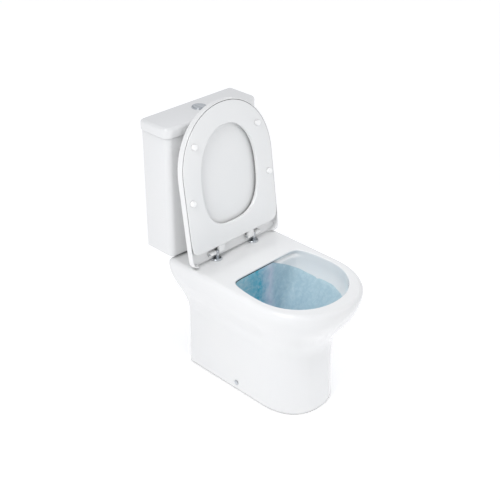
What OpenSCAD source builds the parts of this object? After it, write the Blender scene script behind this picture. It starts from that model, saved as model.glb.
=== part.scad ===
// Close coupled toilet: pan with a raised seat and cover, cistern on the pan's ledge,
// dual flush button, flush valve, bottom inlet fill valve and the fixings that join them.
// Frame: +Z up, +X to the user's left when seated, +Y towards the wall. The origin is on
// the floor, midway between the front of the pan and the back of the cistern.
// The seat and the cover are drawn raised, leaning back on their hinge stops.

/* [Overall] */
// front of the pan to the back of the cistern
overall_depth = 650; // [600:5:700]
// height of the pan's rim and ledge
pan_top = 400; // [380:5:460]
// smoothness of the round parts
round_fn = 64; // [32:8:128]

/* [Pan] */
// width of the rim
rim_width = 356; // [340:2:380]
// width of the foot at the floor
foot_width = 234; // [200:2:280]
// floor to the crease where the bowl's bulge starts
crease_height = 195; // [150:5:240]
// thickness of the china walls
china_wall = 10; // [8:1:14]
// thickness of the deck under the seat hinges
deck_thickness = 14; // [12:1:20]
// radius of the soft outer edge of the rim
rim_radius = 14; // [6:1:18]
// width of the bowl opening
bowl_width = 300; // [270:2:310]
// depth of the bowl opening, front to back
bowl_length = 275; // [240:1:300]
// outside diameter of the waste outlet
outlet_diameter = 102; // [90:1:110]
// floor to the middle of the waste outlet
outlet_height = 185; // [170:1:200]

/* [Cistern] */
// width of the cistern lid
lid_width = 362; // [340:2:400]
// height of the lid's side
lid_height = 32; // [24:1:40]
// width of the tank
tank_width = 348; // [330:2:390]
// depth of the cistern lid, front to back
cistern_depth = 125; // [115:1:180]
// height of the tank, without the lid
tank_height = 382; // [330:2:400]
// gap between the tank and the pan's ledge
coupling_gap = 4; // [2:1:8]
// diameter of the flush button's outer ring
button_diameter = 45; // [38:1:60]

/* [Seat and cover] */
// width of the seat
seat_width = 353; // [340:1:370]
// front to back length of the seat
seat_length = 420; // [400:1:440]
// thickness of the seat
seat_thickness = 15; // [12:1:18]
// lean of the raised seat past upright
lean_angle = 8; // [4:1:15]
// distance between the two hinges
hinge_spacing = 155; // [140:1:165]
// height of the rubber feet under the seat
buffer_height = 10; // [6:1:14]
// radius of the buffers under the seat
seat_buffer_radius = 8; // [6:0.5:9]

/* [Sub-part] */
// the sub-part to draw

/* [Hidden] */
$fn = round_fn;
eps = 0.01;
back_y = overall_depth / 2;
front_y = -overall_depth / 2;
open_angle = 90 + lean_angle;

// pan
rim_half = rim_width / 2;
crease_half = foot_width / 2 - 2.5;
mid_y = front_y + 200;
foot_front = 89;
foot_back_y = back_y - 112;
deck_back_y = back_y - 95;
bulge_height = 188;
bowl_half = bowl_width / 2;
bowl_front = 153;
bowl_back = bowl_length - bowl_front;
sump_half = 48;
trap_radius = 35;
outlet_start_y = 205;
outlet_end_y = 265;
tongue_half = 110;
tongue_back_y = 305;
tongue_thickness = 18;
foot_opening_half = 92;
foot_opening_height = 330;
duct_half = 40;
duct_floor = pan_top - 38;
duct_roof = pan_top - 16;
inlet_radius = 46;
boss_wall = 8;
water_way_radius = 32;
inlet_depth = 24;

// cistern
tank_z = pan_top + coupling_gap;
tank_top = tank_z + tank_height;
lid_top = tank_top + lid_height;
tank_wall = 9;
tank_floor = 12;
floor_z = tank_z + tank_floor;
lid_front_y = back_y - cistern_depth;
tank_front_y = lid_front_y + 6;
valve_y = 268;
bolt_x = 75;
fill_x = 135;
fixing_x = 130;
fixing_z = 700;

// hinges, seat and cover
hinge_x = hinge_spacing / 2;
hinge_y = 122;
hinge_z = pan_top + 23;
pin_radius = 3;
running_gap = 0.05;
post_half = 4.5;
barrel_radius = 7;
barrel_length = 22;
barrel_gap = 0.6;
seat_z = pan_top + buffer_height;
seat_back_y = 101;
seat_front_y = seat_back_y - seat_length;
seat_mid_y = seat_back_y - 225;
seat_half = seat_width / 2;
hole_half = 111;
hole_mid_y = seat_back_y - 200;
hole_front = 154;
hole_back = 143;
cover_half = seat_half + 4;
cover_top_z = hinge_z + 12;
cover_plate = 4.7;
cover_skirt = 3;
skirt_z = seat_z + 2;
cover_back_y = seat_back_y + 38;
cover_front_y = seat_front_y - 4;
cover_rounding = 6;

// dual flush button
button_half = button_diameter / 2;
button_z = lid_top + 3;
button_gap = 0.6;
button_bore = button_half - 4;

// china side fixings
fixing_y = -1;
fixing_height = 26;
bracket_hole_x = 84;

china = "#F4F4F2";
white_plastic = "#F7F7F5";
grey_plastic = "#C9CCCE";
chromed = "#C8CCD0";
black_rubber = "#2C2C2E";
steel = "#9DA2A6";
ring_points = 56;

// ---------- shared geometry ----------

// 0 below the start of a bulge, 1 above its end, and a soft S between them
function smooth(t) = let (c = min(1, max(0, t))) c * c * (3 - 2 * c);

function signed_power(v, p) = sign(v) * pow(abs(v), p);

// Egg or D shaped outline: half widths and lengths either side of y_mid, and how square
// the front and the back are (2 is an ellipse). taper narrows the back.
function outline(half, y_mid, front, back, e_front, e_back, z, taper = 0) = [
    for (i = [0:ring_points - 1])
        let (
            t = 360 * i / ring_points,
            e = sin(t) > 0 ? e_back : e_front,
            reach = sin(t) > 0 ? back : front,
            across = signed_power(cos(t), 2 / e),
            along = signed_power(sin(t), 2 / e)
        )
        [half * across * (1 - taper * pow(max(0, along), 2)), y_mid + reach * along, z]
];

// Box outline with rounded corners and a front that bows out by bow
function box_outline(half, y_front, y_back, r_front, r_back, bow, z) = [
    each [for (a = [180:15:270]) [r_front - half + r_front * cos(a),
        y_front + bow + r_front + r_front * sin(a), z]],
    each [for (s = [-0.75:0.25:0.75]) [s * (half - r_front), y_front + bow * s * s, z]],
    each [for (a = [270:15:360]) [half - r_front + r_front * cos(a),
        y_front + bow + r_front + r_front * sin(a), z]],
    each [for (a = [0:18:90]) [half - r_back + r_back * cos(a),
        y_back - r_back + r_back * sin(a), z]],
    each [for (a = [90:18:180]) [r_back - half + r_back * cos(a),
        y_back - r_back + r_back * sin(a), z]]
];

function flat(ring) = [for (p = ring) [p[0], p[1]]];

// Closed solid skinned through rings of equal length: capped at both ends, or, as a loop,
// carried on from the last ring to the first
module skin(rings, loop = false) {
    n = len(rings[0]);
    m = len(rings);
    sides = [
        for (j = [0:loop ? m - 1 : m - 2]) for (i = [0:n - 1])
            let (
                next = (j + 1) % m,
                a = j * n + i,
                b = j * n + (i + 1) % n,
                c = next * n + (i + 1) % n,
                d = next * n + i
            )
            each [[a, d, c], [a, c, b]]
    ];
    first = [for (i = [0:n - 1]) i];
    last = [for (i = [n - 1:-1:0]) (m - 1) * n + i];
    caps = loop ? [] : [first, last];
    polyhedron(points = [for (r = rings) each r], faces = concat(sides, caps));
}

// Closed hoop through cross-sections of equal length
module hoop(sections) {
    n = len(sections);
    m = len(sections[0]);
    polyhedron(
        points = [for (s = sections) each s],
        faces = [
            for (i = [0:n - 1]) for (k = [0:m - 1])
                let (
                    a = i * m + k,
                    b = ((i + 1) % n) * m + k,
                    c = ((i + 1) % n) * m + (k + 1) % m,
                    d = i * m + (k + 1) % m
                )
                each [[a, d, c], [a, c, b]]
        ]
    );
}

// Round ring standing at height z
module ring(r_in, r_out, z, h) {
    translate([0, 0, z])
        difference() {
            cylinder(r = r_out, h = h);
            translate([0, 0, -1])
                cylinder(r = r_in, h = h + 2);
        }
}

// Cylinder along X from x0 to x1
module bar_x(x0, x1, y, z, r) {
    translate([x0, y, z])
        rotate([0, 90, 0])
            cylinder(r = r, h = x1 - x0);
}

// Cylinder along Y from y0 to y1
module bar_y(x, y0, y1, z, r) {
    translate([x, y0, z])
        rotate([-90, 0, 0])
            cylinder(r = r, h = y1 - y0);
}

// The same thing on both sides of the middle plane
module both_sides() {
    children();
    mirror([1, 0, 0])
        children();
}

// Turn a closed seat part up to its hinge stop
module raised() {
    translate([0, hinge_y, hinge_z])
        rotate([-open_angle, 0, 0])
            translate([0, -hinge_y, -hinge_z])
                children();
}

// ---------- pan ----------

function bulge(z) = smooth((z - crease_height) / bulge_height);
function flare(z) = pow(max(0, 1 - z / crease_height), 2);
function pan_mid(z) = mid_y + 17 - 22 * bulge(z);

// outer outline of the pan at height z, moved in by inset
function pan_ring(z, inset) = let (k = bulge(z), f = flare(z))
    outline(
        crease_half + 2.5 * f + (rim_half - crease_half) * k - inset,
        pan_mid(z),
        foot_front + 39 + 4 * f + 67 * k - inset,
        foot_back_y + (deck_back_y - foot_back_y) * k - pan_mid(z) - inset,
        2.3 - 0.2 * k, 40, z
    );

function rim_inset(z) = let (h = max(0, z - pan_top + rim_radius))
    rim_radius - sqrt(rim_radius * rim_radius - h * h);

// inside outline of the bowl at a depth below the rim, moved out by grow
function bowl_ring(depth, grow, z) =
    let (
        k = 1 - smooth((depth - 30) / 205),
        q = sqrt(1 - pow(max(0, depth - 235) / 51.5, 2))
    )
    outline(
        (sump_half + (bowl_half - sump_half) * k) * q + grow,
        mid_y + 53 * (1 - k),
        (sump_half - 2 + (bowl_front - sump_half + 2) * k) * q + grow,
        (sump_half + (bowl_back - sump_half) * k) * q + grow,
        2.1, 2 + 9 * k, z, 0.1 * k
    );

// Outer wall, rim and deck, with the hole for the bowl
module pan_shell() {
    ceiling = pan_top - deck_thickness;
    skin(concat(
        [bowl_ring(deck_thickness, 0, ceiling), pan_ring(ceiling, china_wall)],
        [for (z = [each [350:-31:195], 100, 0]) pan_ring(z, china_wall)],
        [for (z = [0, 50, 100, 150, each [195:19:366], pan_top - rim_radius]) pan_ring(z, 0)],
        [for (a = [25:25:75]) pan_ring(pan_top - rim_radius * (1 - sin(a)), rim_radius * (1 - cos(a)))],
        [pan_ring(pan_top, rim_radius), bowl_ring(0, 1.5, pan_top), bowl_ring(1.5, 0, pan_top - 1.5)]
    ), loop = true);
}

duct_start_y = mid_y + bowl_back + china_wall + 0.02;

module pan() {
    color(china)
        difference() {
            union() {
                difference() {
                    pan_shell();
                    // open back of the foot
                    translate([-foot_opening_half, foot_back_y - 30, -1])
                        cube([2 * foot_opening_half, 60, foot_opening_height + 1]);
                }
                // narrow ledge under the cistern
                translate([0, 0, pan_top - tongue_thickness])
                    linear_extrude(tongue_thickness)
                        polygon(flat(box_outline(tongue_half, foot_back_y - 8, tongue_back_y, 5, 20, 0, 0)));
                // flush duct and the boss round the inlet
                translate([-duct_half - china_wall, duct_start_y, duct_floor - china_wall])
                    cube([
                        2 * (duct_half + china_wall), valve_y - duct_start_y,
                        pan_top - duct_floor + china_wall - 1
                    ]);
                translate([0, valve_y, duct_floor - china_wall])
                    cylinder(r = inlet_radius + boss_wall, h = pan_top - duct_floor + china_wall);
            }
            // flush duct, from the inlet to the slot in the back of the bowl
            translate([-duct_half, duct_start_y - 1, duct_floor])
                cube([2 * duct_half, valve_y + 20 - duct_start_y, duct_roof - duct_floor]);
            translate([0, valve_y, duct_floor])
                cylinder(r = water_way_radius, h = pan_top - duct_floor + 1);
            translate([0, valve_y, pan_top - inlet_depth])
                cylinder(r = inlet_radius, h = inlet_depth + 1);
            both_sides() {
                translate([bolt_x, valve_y, pan_top - 40])
                    cylinder(r = 7, h = 41);
                translate([hinge_x, hinge_y, pan_top - 30])
                    cylinder(r = 7, h = 31);
                bar_x(100, 125, fixing_y, fixing_height, 5);
            }
        }
}

// Bowl below the deck, from its rim down to the sump
module bowl_shell() {
    skin(concat(
        [for (d = [282, 268, each [235:-35:60], 34, deck_thickness + 8])
            bowl_ring(d, china_wall, pan_top - d - 8)],
        [bowl_ring(deck_thickness, china_wall, pan_top - deck_thickness)],
        [for (d = [deck_thickness, each [30:25:230], 255, 272, 282]) bowl_ring(d, 0, pan_top - d)]
    ));
}

// water path of the trap: down from the sump, over the weir and out to the outlet
trap_path = [[-60, 146], [30, 146], [85, 250], [165, outlet_height], [outlet_start_y, outlet_height]];

module trap(r) {
    for (i = [0:len(trap_path) - 2])
        hull()
            for (p = [trap_path[i], trap_path[i + 1]])
                translate([0, p[0], p[1]])
                    sphere(r = r, $fn = 24);
}

// Bowl with its sump and trap
module pan_bowl() {
    color(china)
        difference() {
            union() {
                bowl_shell();
                difference() {
                    trap(trap_radius + china_wall);
                    // keep the upper half of the trap's mouth out of the bowl
                    translate([-100, -124, trap_path[0][1]])
                        cube([200, 100, 100]);
                }
            }
            trap(trap_radius);
            // the trap is cut square where the outlet horn carries on
            translate([-60, outlet_start_y, 125])
                cube([120, 60, 120]);
            // slot for the flush water under the back of the rim
            translate([-duct_half, duct_start_y - 25, duct_floor])
                cube([2 * duct_half, 50, duct_roof - duct_floor]);
        }
}

// China horn at the end of the trap that a pan connector pushes over
module pan_outlet() {
    color(china)
        difference() {
            bar_y(0, outlet_start_y, outlet_end_y, outlet_height, outlet_diameter / 2);
            bar_y(0, outlet_start_y - 1, outlet_end_y + 1, outlet_height, outlet_diameter / 2 - 8);
        }
}

// ---------- cistern ----------

function tank_outline(inset, z) = box_outline(
    tank_width / 2 - inset, tank_front_y + inset, back_y - inset, 20 - inset, 8 - inset / 2, 6, z
);

module cistern_tank() {
    color(china)
        difference() {
            union() {
                translate([0, 0, tank_z])
                    linear_extrude(3)
                        polygon(flat(tank_outline(2.5, 0)));
                translate([0, 0, tank_z + 3])
                    linear_extrude(tank_height - 3)
                        polygon(flat(tank_outline(0, 0)));
            }
            translate([0, 0, floor_z])
                linear_extrude(tank_height)
                    polygon(flat(tank_outline(tank_wall, 0)));
            translate([0, valve_y, tank_z - 1])
                cylinder(r = 31, h = tank_floor + 2);
            translate([fill_x, valve_y, tank_z - 1])
                cylinder(r = 11.5, h = tank_floor + 2);
            both_sides() {
                translate([bolt_x, valve_y, tank_z - 1])
                    cylinder(r = 6, h = tank_floor + 2);
                bar_y(fixing_x, back_y - 20, back_y + 1, fixing_z, 4);
            }
        }
}

function lid_outline(inset, z) = box_outline(
    lid_width / 2 - inset, lid_front_y + inset, back_y - inset, 24 - inset, 12 - inset / 2, 6, z
);

module cistern_lid() {
    edge = 10;
    plate = 12;
    lip = tank_wall + 1.5;
    color(china)
        difference() {
            union() {
                skin(concat(
                    [lid_outline(1.5, tank_top), lid_outline(0, tank_top + 1.5)],
                    [for (a = [0:18:90]) lid_outline(edge * (1 - cos(a)), lid_top - edge * (1 - sin(a)))]
                ));
                translate([0, 0, tank_top - 10])
                    linear_extrude(14)
                        polygon(flat(tank_outline(lip, 0)));
            }
            translate([0, 0, tank_top - 11])
                linear_extrude(lid_height - plate + 11)
                    polygon(flat(tank_outline(lip + 5, 0)));
            translate([0, valve_y, tank_top])
                cylinder(r = button_half - 2.5, h = lid_height + 1);
        }
}

// ---------- dual flush button ----------

module button_collar() {
    color(chromed)
        translate([0, valve_y, 0])
            rotate_extrude()
                polygon([
                    [button_bore, lid_top - 24], [button_half - 2.8, lid_top - 24],
                    [button_half - 2.8, lid_top], [button_half, lid_top],
                    [button_half - 0.8, button_z - 0.8], [button_half - 1.8, button_z],
                    [button_bore, button_z]
                ]);
}

module button_nut() {
    color(grey_plastic)
        translate([0, valve_y, 0])
            ring(button_half - 2.7, button_half + 6, lid_top - 18, 6);
}

// The part of the split push button between x0 and x1
module button_part(x0, x1) {
    translate([0, valve_y, 0])
        intersection() {
            union() {
                translate([0, 0, lid_top - 8])
                    cylinder(r = button_bore - button_gap / 2, h = button_z - lid_top + 8);
                translate([0, 0, button_z])
                    cylinder(r1 = button_bore - button_gap / 2, r2 = button_bore - 1.2, h = 1);
            }
            translate([x0, -button_half, lid_top - 9])
                cube([x1 - x0, 2 * button_half, 20]);
        }
}

split_x = -5;

module full_flush_button() {
    color(chromed)
        button_part(split_x + button_gap / 2, button_half);
}

module half_flush_button() {
    color(chromed)
        button_part(-button_half, split_x - button_gap / 2);
}

rod_bottom = 735;
full_rod_x = 7;
half_rod_x = -11;

module push_rod(x) {
    color(white_plastic)
        translate([x, valve_y, rod_bottom])
            cylinder(r = 3, h = lid_top - 8 - rod_bottom);
}

module full_push_rod() {
    push_rod(full_rod_x);
}

module half_push_rod() {
    push_rod(half_rod_x);
}

// ---------- flush valve ----------

tower_top = rod_bottom - 7;
seat_ring_z = floor_z + 14;

module flush_valve_base() {
    color(white_plastic)
        translate([0, valve_y, 0])
            rotate_extrude()
                polygon([
                    [24, pan_top - 20], [29, pan_top - 20], [29, floor_z + 2], [40, floor_z + 2],
                    [40, floor_z + 8], [29, floor_z + 8], [27, seat_ring_z], [24, seat_ring_z]
                ]);
}

module flush_valve_seal() {
    color(black_rubber)
        translate([0, valve_y, 0])
            ring(29.2, 40, floor_z, 2);
}

module flush_valve_backnut() {
    color(white_plastic)
        translate([0, valve_y, tank_z - 11])
            difference() {
                cylinder(r = 40.5, h = 11, $fn = 8);
                translate([0, 0, -1])
                    cylinder(r = 29.02, h = 13);
            }
}

module doughnut_gasket() {
    color(black_rubber)
        translate([0, valve_y, 0])
            ring(41.1, inlet_radius - 0.3, pan_top - inlet_depth, inlet_depth + coupling_gap);
}

module flush_valve_tower() {
    color(white_plastic)
        translate([0, valve_y, 0]) {
            ring(31, 40, floor_z + 8, 6);
            for (a = [45:90:315])
                rotate([0, 0, a])
                    translate([36.5, 0, floor_z + 10])
                        cylinder(r = 3.2, h = tower_top - 5 - floor_z - 10);
            ring(16.5, 40, floor_z + 150, 8);
            translate([0, 0, tower_top - 11])
                cylinder(r = 40, h = 11);
        }
}

module flush_valve_canister() {
    color(grey_plastic)
        translate([0, valve_y, 0])
            rotate_extrude()
                polygon([
                    [12, seat_ring_z + 3], [29, seat_ring_z + 3], [29, seat_ring_z + 13],
                    [15, seat_ring_z + 22], [15, 690], [12, 690]
                ]);
}

module canister_seal() {
    color(black_rubber)
        translate([0, valve_y, 0])
            ring(18, 30, seat_ring_z, 3);
}

// ---------- fixings between the cistern and the pan ----------

module coupling_bolts() {
    color(steel)
        both_sides()
            translate([bolt_x, valve_y, 0]) {
                translate([0, 0, floor_z + 3])
                    cylinder(r = 8, h = 6, $fn = 6);
                translate([0, 0, pan_top - 48])
                    cylinder(r = 4, h = 48 + coupling_gap + tank_floor + 3);
            }
}

module coupling_washers() {
    color(black_rubber)
        both_sides()
            translate([bolt_x, valve_y, 0]) {
                ring(4.02, 13, floor_z, 3);
                ring(4.02, 13, pan_top - tongue_thickness - 3, 3);
            }
}

// Nut with two wings, its top at height z
module wing_nut(z, bore) {
    translate([0, 0, z - 12])
        difference() {
            union() {
                cylinder(r = 9, h = 12);
                translate([-2, -19, 0])
                    cube([4, 38, 9]);
            }
            translate([0, 0, -1])
                cylinder(r = bore, h = 14);
        }
}

module coupling_wing_nuts() {
    color(white_plastic)
        both_sides()
            translate([bolt_x, valve_y, 0])
                wing_nut(pan_top - tongue_thickness - 3, 4.02);
}

// ---------- fill valve ----------

column_radius = 13;
tail_radius = 10.2;
float_z = 540;
float_height = 60;
float_travel = 35;
head_z = float_z + float_height + float_travel + 5;

module fill_valve_body() {
    color(white_plastic)
        translate([fill_x, valve_y, 0])
            difference() {
                union() {
                    translate([0, 0, pan_top - 40])
                        cylinder(r = tail_radius, h = 33);
                    translate([0, 0, pan_top - 8])
                        cylinder(r = 10.5, h = coupling_gap + tank_floor + 12);
                    translate([0, 0, floor_z + 3])
                        cylinder(r = 17, h = 5);
                    translate([0, 0, floor_z + 8])
                        cylinder(r = column_radius, h = head_z - floor_z - 8);
                    translate([0, 0, float_z - 5])
                        cylinder(r = 16, h = 5);
                    translate([0, 0, head_z])
                        cylinder(r = 20, h = 46);
                }
                translate([0, 0, pan_top - 41])
                    cylinder(r = 6, h = head_z - pan_top + 41);
            }
}

module fill_valve_washer() {
    color(black_rubber)
        translate([fill_x, valve_y, 0])
            ring(10.52, 17, floor_z, 3);
}

module fill_valve_nut() {
    color(white_plastic)
        translate([fill_x, valve_y, tank_z - 10])
            difference() {
                cylinder(r = 17, h = 10, $fn = 6);
                translate([0, 0, -1])
                    cylinder(r = 10.52, h = 12);
            }
}

module fill_valve_float() {
    color(grey_plastic)
        translate([fill_x, valve_y, 0])
            ring(column_radius + running_gap, 27, float_z, float_height);
}

// ---------- seat ----------

// Section through the seat at ring point i, from the outer bottom edge round to the inner
function seat_section(outer, inner) =
    let (
        top = seat_thickness,
        span = norm(inner - outer),
        out = [[1.5, 0], [0, 1.5], [0, top - 6], [1.5, top - 2], [6, top]],
        back = [[8, top], [2.5, top - 3], [0, top - 8], [0, 4], [4, 0]]
    )
    concat(
        [for (s = out) let (p = outer + (inner - outer) * s[0] / span) [p[0], p[1], seat_z + s[1]]],
        [for (s = back) let (p = inner + (outer - inner) * s[0] / span) [p[0], p[1], seat_z + s[1]]]
    );

module seat_plate() {
    outer = flat(outline(seat_half, seat_mid_y, seat_mid_y - seat_front_y, 225, 2.08, 16, 0));
    inner = flat(outline(hole_half, hole_mid_y, hole_front, hole_back, 2.1, 2.8, 0));
    hoop([for (i = [0:ring_points - 1]) seat_section(outer[i], inner[i])]);
}

// Barrel on the hinge pin between x0 and x1, with a web to the plate it carries
module hinge_barrel(x0, x1, web_y, web_z, web_depth, web_height) {
    difference() {
        union() {
            bar_x(x0, x1, hinge_y, hinge_z, barrel_radius);
            translate([x0, web_y, web_z])
                cube([x1 - x0, web_depth, web_height]);
        }
        bar_x(x0 - 1, x1 + 1, hinge_y, hinge_z, pin_radius + running_gap);
    }
}

barrel_inner_x1 = hinge_x - post_half - barrel_gap;
barrel_outer_x0 = hinge_x + post_half + barrel_gap;

module seat() {
    color(white_plastic)
        raised()
            seat_plate();
}

module seat_hinges() {
    color(white_plastic)
        raised()
            both_sides()
                hinge_barrel(
                    barrel_inner_x1 - barrel_length, barrel_inner_x1,
                    seat_back_y + 0.02, seat_z + 2, hinge_y - seat_back_y, 11
                );
}

module feet(r, z, h, front_x, front_y, rear_x, rear_y) {
    both_sides() {
        translate([front_x, front_y, z])
            cylinder(r = r, h = h);
        translate([rear_x, rear_y, z])
            cylinder(r = r, h = h);
    }
}

module seat_buffers() {
    color(white_plastic)
        raised()
            feet(seat_buffer_radius, pan_top + 0.3, buffer_height - 0.3, 126, -222, 156, -62);
}

// ---------- cover ----------

function cover_outline(inset, z) = outline(
    cover_half - inset, seat_mid_y, seat_mid_y - cover_front_y - inset,
    cover_back_y - seat_mid_y - inset, 2.08, 24, z
);

// the skirt stops short of the hinges, where the back of the cover is open
function skirted(ring, z_open) = [
    for (p = ring) (p[1] > 90 && abs(p[0]) < 0.85 * cover_half) ? [p[0], p[1], z_open] : p
];

module cover_shell() {
    under = cover_top_z - cover_plate;
    r = cover_rounding;
    skin(concat(
        [cover_outline(90, under), cover_outline(cover_skirt + 2, under)],
        [skirted(cover_outline(cover_skirt, under - 1.5), under - 0.1)],
        [skirted(cover_outline(cover_skirt, skirt_z), under - 0.2)],
        [skirted(cover_outline(0, skirt_z), under - 0.2)],
        [for (a = [0:18:90]) cover_outline(r * (1 - cos(a)), cover_top_z - 1 - r * (1 - sin(a)))],
        [cover_outline(90, cover_top_z)]
    ));
}

module cover() {
    color(white_plastic)
        raised()
            cover_shell();
}

module cover_hinges() {
    color(white_plastic)
        raised()
            both_sides()
                hinge_barrel(
                    barrel_outer_x0, barrel_outer_x0 + barrel_length,
                    hinge_y - 7, hinge_z, 14, cover_top_z - cover_plate - 0.02 - hinge_z
                );
}

module cover_buffers() {
    under = cover_top_z - cover_plate;
    top = seat_z + seat_thickness;
    color(white_plastic)
        raised()
            feet(5, top + 0.3, under - top - 0.3, 118, -228, 146, -62);
}

// ---------- hinges ----------

base_height = 5;

module hinge_bases() {
    color(chromed)
        both_sides()
            translate([hinge_x, hinge_y, pan_top])
                difference() {
                    union() {
                        cylinder(r = 17, h = base_height - 1.5);
                        translate([0, 0, base_height - 1.5])
                            cylinder(r1 = 17, r2 = 15.5, h = 1.5);
                    }
                    translate([0, 0, -1])
                        cylinder(r = 4.02, h = base_height + 2);
                }
}

module hinge_posts() {
    color(chromed)
        both_sides()
            difference() {
                union() {
                    // the post is shallow at the back, where the raised cover stands
                    translate([hinge_x - post_half, hinge_y - 7, pan_top + base_height])
                        cube([2 * post_half, 11, hinge_z - pan_top - base_height]);
                    bar_x(hinge_x - post_half, hinge_x + post_half, hinge_y, hinge_z, barrel_radius);
                }
                bar_x(hinge_x - 10, hinge_x + 10, hinge_y, hinge_z, pin_radius + 0.01);
            }
}

module hinge_pins() {
    reach = post_half + barrel_gap + barrel_length + 1;
    color(steel)
        both_sides()
            bar_x(hinge_x - reach, hinge_x + reach, hinge_y, hinge_z, pin_radius);
}

module hinge_studs() {
    color(steel)
        both_sides()
            translate([hinge_x, hinge_y, pan_top - 50])
                cylinder(r = 4, h = 50 + base_height);
}

module hinge_washers() {
    color(black_rubber)
        both_sides()
            translate([hinge_x, hinge_y, 0])
                ring(4.02, 13, pan_top - deck_thickness - 3, 3);
}

module hinge_nuts() {
    color(white_plastic)
        both_sides()
            translate([hinge_x, hinge_y, 0])
                wing_nut(pan_top - deck_thickness - 3, 4.02);
}

// ---------- floor fixings ----------

module floor_brackets() {
    color(grey_plastic)
        both_sides()
            difference() {
                union() {
                    translate([70, fixing_y - 25, 0])
                        cube([35, 50, 6]);
                    translate([97, fixing_y - 25, 5])
                        cube([8, 50, 37]);
                }
                translate([bracket_hole_x, fixing_y, -1])
                    cylinder(r = 4, h = 8);
                bar_x(90, 110, fixing_y, fixing_height, 3.52);
            }
}

module side_screws() {
    color(steel)
        both_sides() {
            bar_x(92, 110, fixing_y, fixing_height, 3.5);
            bar_x(110, 115.5, fixing_y, fixing_height, 4.8);
        }
}

module side_caps() {
    wall_x = foot_width / 2 - 0.4;
    color(chromed)
        both_sides() {
            bar_x(wall_x, wall_x + 2, fixing_y, fixing_height, 8);
            bar_x(wall_x + 1, wall_x + 3, fixing_y, fixing_height, 6.5);
        }
}

pan();
pan_bowl();
pan_outlet();
cistern_tank();
cistern_lid();
button_collar();
button_nut();
full_flush_button();
half_flush_button();
full_push_rod();
half_push_rod();
flush_valve_base();
flush_valve_seal();
flush_valve_backnut();
flush_valve_tower();
flush_valve_canister();
canister_seal();
doughnut_gasket();
coupling_bolts();
coupling_washers();
coupling_wing_nuts();
fill_valve_body();
fill_valve_washer();
fill_valve_nut();
fill_valve_float();
seat();
seat_hinges();
seat_buffers();
cover();
cover_hinges();
cover_buffers();
hinge_bases();
hinge_posts();
hinge_pins();
hinge_studs();
hinge_washers();
hinge_nuts();
floor_brackets();
side_screws();
side_caps();
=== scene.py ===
import math

import bmesh
import bpy
import numpy as np
from mathutils import Matrix, Vector


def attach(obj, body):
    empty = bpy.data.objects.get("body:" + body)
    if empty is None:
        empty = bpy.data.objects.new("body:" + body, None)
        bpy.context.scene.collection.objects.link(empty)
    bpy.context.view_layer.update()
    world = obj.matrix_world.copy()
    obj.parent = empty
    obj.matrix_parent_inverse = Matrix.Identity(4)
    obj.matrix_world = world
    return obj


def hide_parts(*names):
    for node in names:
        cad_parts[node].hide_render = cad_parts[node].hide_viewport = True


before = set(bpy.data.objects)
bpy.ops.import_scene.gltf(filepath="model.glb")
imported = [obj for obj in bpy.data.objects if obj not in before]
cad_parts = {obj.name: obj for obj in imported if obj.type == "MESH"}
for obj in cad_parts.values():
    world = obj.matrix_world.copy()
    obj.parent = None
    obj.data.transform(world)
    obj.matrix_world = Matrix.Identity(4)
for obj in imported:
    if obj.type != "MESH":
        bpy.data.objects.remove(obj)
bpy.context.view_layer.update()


# ---------------------------------------------------------------- studio
# A plain white floor under a soft white surround, a broad soft light on the left in front of
# the toilet, a weaker one on the right and a narrow one into the bowl. The camera stands in
# front on the left, well above the rim. Left and right are as seen from the front.
def colour(code):
    """A hex sRGB colour as linear red, green, blue and alpha."""
    parts = [int(code[i:i + 2], 16) / 255 for i in (1, 3, 5)]
    return [p / 12.92 if p <= 0.04045 else ((p + 0.055) / 1.055) ** 2.4 for p in parts] + [1.0]


def add(tree, kind, settings=None, inputs=None):
    """Add one node: its settings by name, its inputs by name or place, each a value or a link."""
    made = tree.nodes.new(kind)
    for name, value in (settings or {}).items():
        setattr(made, name, value)
    for name, value in (inputs or {}).items():
        if isinstance(value, bpy.types.NodeSocket):
            tree.links.new(value, made.inputs[name])
        else:
            made.inputs[name].default_value = value
    return made


def start_finish(name):
    """An empty material of that name, with its node tree."""
    material = bpy.data.materials.new(name)
    material.use_nodes = True
    material.node_tree.nodes.clear()
    return material, material.node_tree


def end_finish(tree, inputs):
    """Close a material with its shader."""
    shader = add(tree, "ShaderNodeBsdfPrincipled", None, inputs)
    add(tree, "ShaderNodeOutputMaterial", None, {"Surface": shader.outputs["BSDF"]})


camera = bpy.data.objects.new("camera", bpy.data.cameras.new("camera"))
camera.data.sensor_width = 36
camera.data.lens = 70.99
camera_place = Vector((-1.81198, -1.71567, 1.89821))
camera_aim = Vector((-0.01442, 0.04412, 0.43536))
camera_tilt = math.radians(0.32)
turn = (camera_aim - camera_place).to_track_quat("-Z", "Y").to_matrix()
turn = turn @ Matrix.Rotation(camera_tilt, 3, "Z")
camera.matrix_world = Matrix.Translation(camera_place) @ turn.to_4x4()
bpy.context.collection.objects.link(camera)
bpy.context.scene.camera = camera
bpy.context.scene.view_settings.view_transform = "Standard"

surround = bpy.data.worlds.new("white surround")
surround.use_nodes = True
surround.node_tree.nodes["Background"].inputs["Color"].default_value = colour("#FBFCFF")
surround.node_tree.nodes["Background"].inputs["Strength"].default_value = 0.78
bpy.context.scene.world = surround

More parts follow.
